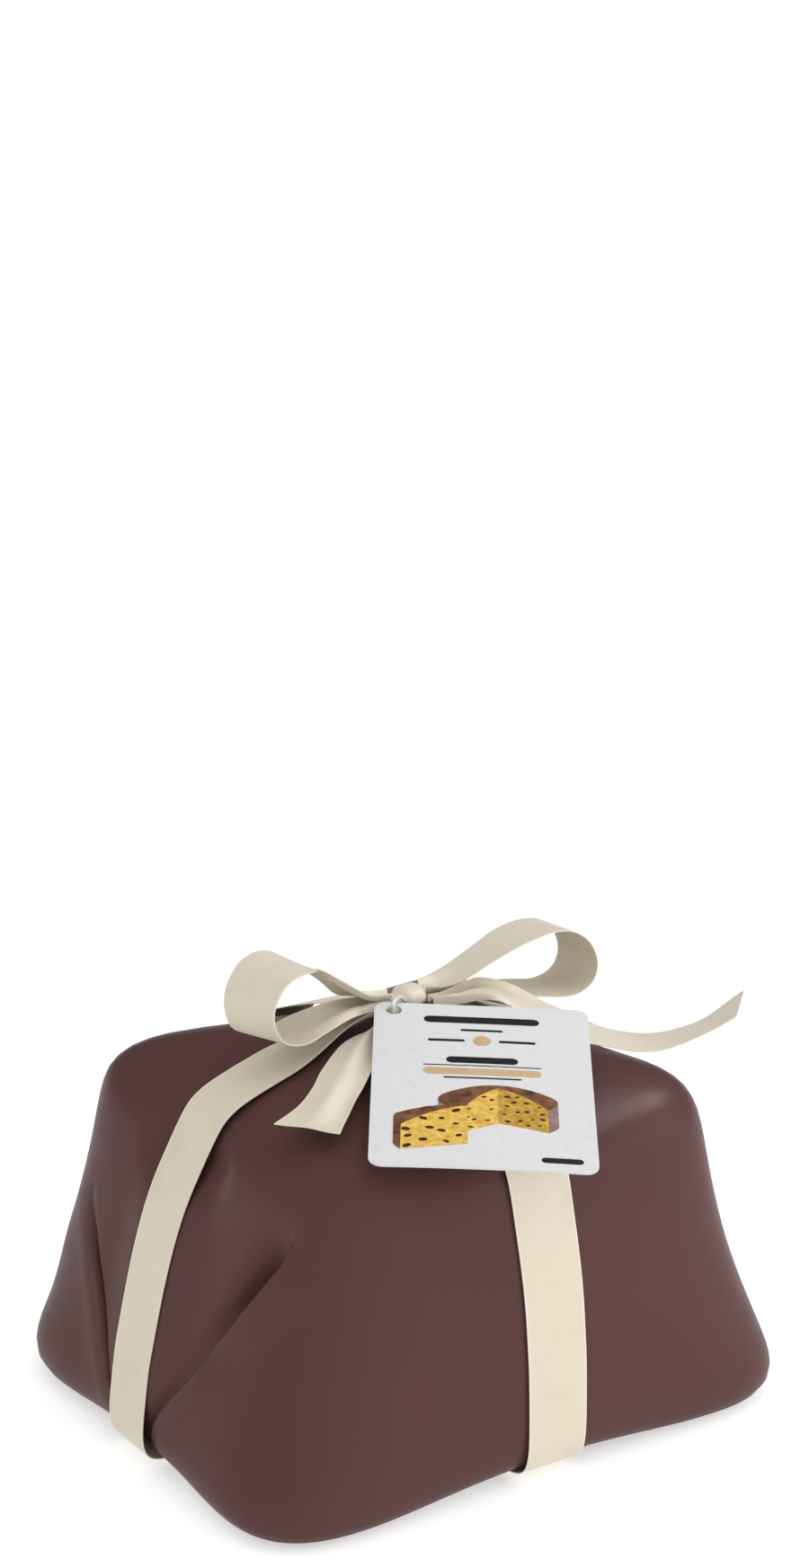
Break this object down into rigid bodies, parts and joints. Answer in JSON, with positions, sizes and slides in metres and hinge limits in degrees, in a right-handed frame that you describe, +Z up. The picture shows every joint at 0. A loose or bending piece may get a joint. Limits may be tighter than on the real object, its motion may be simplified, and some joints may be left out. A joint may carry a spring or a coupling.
{
  "type": "gift-wrapped panettone",
  "caption": "Low panettone in a folded brown paper parcel with tapering sides, tied both ways with wide cream ribbon and a bow, a plain card tag hung from the knot.",
  "frame": {"origin": "middle of the underside, on the lower ribbon strap, which lies on the table", "axes": "+Z up through the knot; long faces look along -Y and +Y, folded end faces along -X and +X; the tag overhangs the -Y face"},
  "size_m": [0.2833, 0.2259, 0.1768],
  "materials": {
    "brown_paper": "matt wrapping paper with a faint satin sheen",
    "cream_ribbon": "fine twill ribbon, soft satin",
    "tag_card": "uncoated white card",
    "white_cord": "round white cord",
    "baked_crust": "baked crust, matt",
    "baking_paper": "brown baking paper",
    "clear_film": "clear food film",
    "gold_tie": "gold wire tie",
    "gold_board": "foil-faced card"
  },
  "bodies": {
    "root": {"wrapping_paper": "brown_paper", "ribbon_front_to_back": "cream_ribbon", "ribbon_side_to_side": "cream_ribbon", "bow_knot": "cream_ribbon", "bow_loop_left": "cream_ribbon", "bow_loop_right": "cream_ribbon", "bow_tail_front": "cream_ribbon", "bow_tail_right": "cream_ribbon", "hang_tag": "tag_card", "tag_cord": "white_cord", "panettone_loaf": "baked_crust", "baking_case": "baking_paper", "food_bag": "clear_film", "bag_tie": "gold_tie", "cake_board": "gold_board"}
  },
  "joints": []
}
